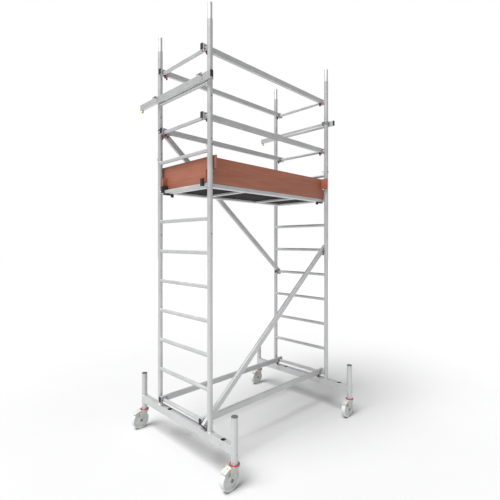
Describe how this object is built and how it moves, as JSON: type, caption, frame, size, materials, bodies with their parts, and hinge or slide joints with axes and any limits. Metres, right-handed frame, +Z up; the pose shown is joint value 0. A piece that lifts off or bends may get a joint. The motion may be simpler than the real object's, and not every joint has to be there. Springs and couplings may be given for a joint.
{
  "type": "mobile tower scaffold",
  "caption": "Aluminium mobile tower scaffold on swivelling braked castors, with ladder frames, braces, a guarded hatch deck and wall support arms.",
  "frame": {"origin": "on the floor, at the centre of the whole object's outline as it stands", "axes": "+X along the deck from the left frame to the right frame, -Y towards the near long side, +Z up"},
  "size_m": [1.699, 1.2738, 3.403],
  "materials": {
    "satin_aluminium": "satin, drawn",
    "zinc_steel": "zinc plated",
    "black_plastic": "moulded, matt",
    "black_casting": "matt paint",
    "red_latch": "dark red paint",
    "red_ring": "satin",
    "cream_steel": "semi-gloss paint",
    "white_polyamide": "moulded, slightly glossy",
    "orange_board": "film-faced plywood, satin",
    "dark_plywood": "film-faced plywood, matt",
    "lime_plastic": "moulded"
  },
  "bodies": {
    "tower": {"lower_frames": "satin_aluminium", "upper_frames": "satin_aluminium", "spigots": "satin_aluminium", "joint_clips": "zinc_steel", "base_beams": "satin_aluminium", "end_posts": "satin_aluminium", "castor_stems": "zinc_steel", "castor_rings": "red_ring", "rails": "satin_aluminium", "diagonal_braces": "satin_aluminium", "claws": "zinc_steel", "end_caps": "black_plastic", "deck_beams": "satin_aluminium", "deck_panels": "dark_plywood", "deck_claws": "black_casting", "hatch_hinges": "zinc_steel", "toe_boards": "orange_board", "support_arms": "satin_aluminium", "arm_couplers": "zinc_steel", "arm_hooks": "lime_plastic"},
    "hatch": {"hatch_panel": "dark_plywood", "hatch_straps": "zinc_steel"},
    "castor_near_left": {"fork_near_left": "cream_steel", "axle_near_left": "zinc_steel"},
    "road_wheel_near_left": {"wheel_near_left": "white_polyamide"},
    "brake_near_left": {"pedal_near_left": "cream_steel"},
    "castor_far_left": {"fork_far_left": "cream_steel", "axle_far_left": "zinc_steel"},
    "road_wheel_far_left": {"wheel_far_left": "white_polyamide"},
    "brake_far_left": {"pedal_far_left": "cream_steel"},
    "castor_near_right": {"fork_near_right": "cream_steel", "axle_near_right": "zinc_steel"},
    "road_wheel_near_right": {"wheel_near_right": "white_polyamide"},
    "brake_near_right": {"pedal_near_right": "cream_steel"},
    "castor_far_right": {"fork_far_right": "cream_steel", "axle_far_right": "zinc_steel"},
    "road_wheel_far_right": {"wheel_far_right": "white_polyamide"},
    "brake_far_right": {"pedal_far_right": "cream_steel"},
    "lock_far_left": {"lift_lock_far_left": "black_plastic"},
    "lock_near_right": {"lift_lock_near_right": "black_plastic"},
    "screw_near_left": {"hand_screw_near_left": "zinc_steel"},
    "screw_far_left": {"hand_screw_far_left": "zinc_steel"},
    "screw_near_right": {"hand_screw_near_right": "zinc_steel"},
    "screw_far_right": {"hand_screw_far_right": "zinc_steel"},
    "latch_top_near_left": {"latch_top_near_left": "red_latch"},
    "latch_top_near_right": {"latch_top_near_right": "red_latch"},
    "latch_top_far_left": {"latch_top_far_left": "red_latch"},
    "latch_top_far_right": {"latch_top_far_right": "red_latch"},
    "latch_mid_near_left": {"latch_mid_near_left": "red_latch"},
    "latch_mid_near_right": {"latch_mid_near_right": "red_latch"},
    "latch_mid_far_left": {"latch_mid_far_left": "red_latch"},
    "latch_mid_far_right": {"latch_mid_far_right": "red_latch"},
    "latch_base_near_left": {"latch_base_near_left": "red_latch"},
    "latch_base_near_right": {"latch_base_near_right": "red_latch"},
    "latch_base_far_left": {"latch_base_far_left": "red_latch"},
    "latch_base_far_right": {"latch_base_far_right": "red_latch"},
    "latch_brace_near_left": {"latch_brace_near_left": "red_latch"},
    "latch_brace_near_right": {"latch_brace_near_right": "red_latch"},
    "latch_brace_far_left": {"latch_brace_far_left": "red_latch"},
    "latch_brace_far_right": {"latch_brace_far_right": "red_latch"}
  },
  "joints": [
    {"name": "hatch_hinge", "type": "hinge", "parent": "tower", "child": "hatch", "pos_m": [0.0195, -0.2515, 2.1013], "axis": [1, 0, 0], "range_deg": [0, 90]},
    {"name": "swivel_near_left", "type": "hinge", "parent": "tower", "child": "castor_near_left", "pos_m": [-0.7305, -0.6, 0.1572], "axis": [0, 0, 1], "continuous": true},
    {"name": "spin_near_left", "type": "hinge", "parent": "castor_near_left", "child": "road_wheel_near_left", "pos_m": [-0.7745, -0.6, 0.075], "axis": [0, 1, 0], "continuous": true},
    {"name": "brake_near_left", "type": "hinge", "parent": "castor_near_left", "child": "brake_near_left", "pos_m": [-0.7805, -0.6, 0.157], "axis": [0, -1, 0], "range_deg": [0, 8]},
    {"name": "swivel_far_left", "type": "hinge", "parent": "tower", "child": "castor_far_left", "pos_m": [-0.7305, 0.6, 0.1572], "axis": [0, 0, 1], "continuous": true},
    {"name": "spin_far_left", "type": "hinge", "parent": "castor_far_left", "child": "road_wheel_far_left", "pos_m": [-0.7745, 0.6, 0.075], "axis": [0, 1, 0], "continuous": true},
    {"name": "brake_far_left", "type": "hinge", "parent": "castor_far_left", "child": "brake_far_left", "pos_m": [-0.7805, 0.6, 0.157], "axis": [0, -1, 0], "range_deg": [0, 8]},
    {"name": "swivel_near_right", "type": "hinge", "parent": "tower", "child": "castor_near_right", "pos_m": [0.7695, -0.6, 0.1572], "axis": [0, 0, 1], "continuous": true},
    {"name": "spin_near_right", "type": "hinge", "parent": "castor_near_right", "child": "road_wheel_near_right", "pos_m": [0.7255, -0.6, 0.075], "axis": [0, 1, 0], "continuous": true},
    {"name": "brake_near_right", "type": "hinge", "parent": "castor_near_right", "child": "brake_near_right", "pos_m": [0.7195, -0.6, 0.157], "axis": [0, -1, 0], "range_deg": [0, 8]},
    {"name": "swivel_far_right", "type": "hinge", "parent": "tower", "child": "castor_far_right", "pos_m": [0.7695, 0.6, 0.1572], "axis": [0, 0, 1], "continuous": true},
    {"name": "spin_far_right", "type": "hinge", "parent": "castor_far_right", "child": "road_wheel_far_right", "pos_m": [0.7255, 0.6, 0.075], "axis": [0, 1, 0], "continuous": true},
    {"name": "brake_far_right", "type": "hinge", "parent": "castor_far_right", "child": "brake_far_right", "pos_m": [0.7195, 0.6, 0.157], "axis": [0, -1, 0], "range_deg": [0, 8]},
    {"name": "lock_turn_far_left", "type": "hinge", "parent": "tower", "child": "lock_far_left", "pos_m": [-0.6605, 0.26, 2.067], "axis": [0, 0, 1], "range_deg": [0, 90]},
    {"name": "lock_turn_near_right", "type": "hinge", "parent": "tower", "child": "lock_near_right", "pos_m": [0.6995, -0.275, 2.067], "axis": [0, 0, 1], "range_deg": [0, 90]},
    {"name": "screw_turn_near_left", "type": "hinge", "parent": "tower", "child": "screw_near_left", "pos_m": [-0.7605, -0.3045, 2.87], "axis": [1, 0, 0], "continuous": true},
    {"name": "screw_turn_far_left", "type": "hinge", "parent": "tower", "child": "screw_far_left", "pos_m": [-0.7605, 0.3045, 2.87], "axis": [1, 0, 0], "continuous": true},
    {"name": "screw_turn_near_right", "type": "hinge", "parent": "tower", "child": "screw_near_right", "pos_m": [0.7995, -0.3045, 2.87], "axis": [1, 0, 0], "continuous": true},
    {"name": "screw_turn_far_right", "type": "hinge", "parent": "tower", "child": "screw_far_right", "pos_m": [0.7995, 0.3045, 2.87], "axis": [1, 0, 0], "continuous": true},
    {"name": "release_top_near_left", "type": "hinge", "parent": "tower", "child": "latch_top_near_left", "pos_m": [-0.7035, -0.285, 3.0635], "axis": [0, -1, 0], "range_deg": [0, 70], "stiffness_Nm_per_rad": 0.05, "springref_deg": -34.38},
    {"name": "release_top_near_right", "type": "hinge", "parent": "tower", "child": "latch_top_near_right", "pos_m": [0.7425, -0.285, 3.0635], "axis": [0, 1, 0], "range_deg": [0, 70], "stiffness_Nm_per_rad": 0.05, "springref_deg": -34.38},
    {"name": "release_top_far_left", "type": "hinge", "parent": "tower", "child": "latch_top_far_left", "pos_m": [-0.7035, 0.285, 3.0635], "axis": [0, -1, 0], "range_deg": [0, 70], "stiffness_Nm_per_rad": 0.05, "springref_deg": -34.38},
    {"name": "release_top_far_right", "type": "hinge", "parent": "tower", "child": "latch_top_far_right", "pos_m": [0.7425, 0.285, 3.0635], "axis": [0, 1, 0], "range_deg": [0, 70], "stiffness_Nm_per_rad": 0.05, "springref_deg": -34.38},
    {"name": "release_mid_near_left", "type": "hinge", "parent": "tower", "child": "latch_mid_near_left", "pos_m": [-0.7035, -0.285, 2.5635], "axis": [0, -1, 0], "range_deg": [0, 70], "stiffness_Nm_per_rad": 0.05, "springref_deg": -34.38},
    {"name": "release_mid_near_right", "type": "hinge", "parent": "tower", "child": "latch_mid_near_right", "pos_m": [0.7425, -0.285, 2.5635], "axis": [0, 1, 0], "range_deg": [0, 70], "stiffness_Nm_per_rad": 0.05, "springref_deg": -34.38},
    {"name": "release_mid_far_left", "type": "hinge", "parent": "tower", "child": "latch_mid_far_left", "pos_m": [-0.7035, 0.2655, 2.5635], "axis": [0, -1, 0], "range_deg": [0, 70], "stiffness_Nm_per_rad": 0.05, "springref_deg": -34.38},
    {"name": "release_mid_far_right", "type": "hinge", "parent": "tower", "child": "latch_mid_far_right", "pos_m": [0.7425, 0.2655, 2.5635], "axis": [0, 1, 0], "range_deg": [0, 70], "stiffness_Nm_per_rad": 0.05, "springref_deg": -34.38},
    {"name": "release_base_near_left", "type": "hinge", "parent": "tower", "child": "latch_base_near_left", "pos_m": [-0.7035, -0.2655, 0.3135], "axis": [0, -1, 0], "range_deg": [0, 70], "stiffness_Nm_per_rad": 0.05, "springref_deg": -34.38},
    {"name": "release_base_near_right", "type": "hinge", "parent": "tower", "child": "latch_base_near_right", "pos_m": [0.7425, -0.2655, 0.3135], "axis": [0, 1, 0], "range_deg": [0, 70], "stiffness_Nm_per_rad": 0.05, "springref_deg": -34.38},
    {"name": "release_base_far_left", "type": "hinge", "parent": "tower", "child": "latch_base_far_left", "pos_m": [-0.7035, 0.285, 0.3135], "axis": [0, -1, 0], "range_deg": [0, 70], "stiffness_Nm_per_rad": 0.05, "springref_deg": -34.38},
    {"name": "release_base_far_right", "type": "hinge", "parent": "tower", "child": "latch_base_far_right", "pos_m": [0.7425, 0.285, 0.3135], "axis": [0, 1, 0], "range_deg": [0, 70], "stiffness_Nm_per_rad": 0.05, "springref_deg": -34.38},
    {"name": "release_brace_near_left", "type": "hinge", "parent": "tower", "child": "latch_brace_near_left", "pos_m": [-0.69727, -0.3005, 0.33531], "axis": [0, -1, 0], "range_deg": [0, 70], "stiffness_Nm_per_rad": 0.05, "springref_deg": -34.38},
    {"name": "release_brace_near_right", "type": "hinge", "parent": "tower", "child": "latch_brace_near_right", "pos_m": [0.76124, -0.3005, 1.55073], "axis": [0, 1, 0], "range_deg": [0, 70], "stiffness_Nm_per_rad": 0.05, "springref_deg": -34.38},
    {"name": "release_brace_far_left", "type": "hinge", "parent": "tower", "child": "latch_brace_far_left", "pos_m": [-0.72224, 0.3005, 2.55073], "axis": [0, -1, 0], "range_deg": [0, 70], "stiffness_Nm_per_rad": 0.05, "springref_deg": -34.38},
    {"name": "release_brace_far_right", "type": "hinge", "parent": "tower", "child": "latch_brace_far_right", "pos_m": [0.73627, 0.3005, 1.3353], "axis": [0, 1, 0], "range_deg": [0, 70], "stiffness_Nm_per_rad": 0.05, "springref_deg": -34.38}
  ]
}
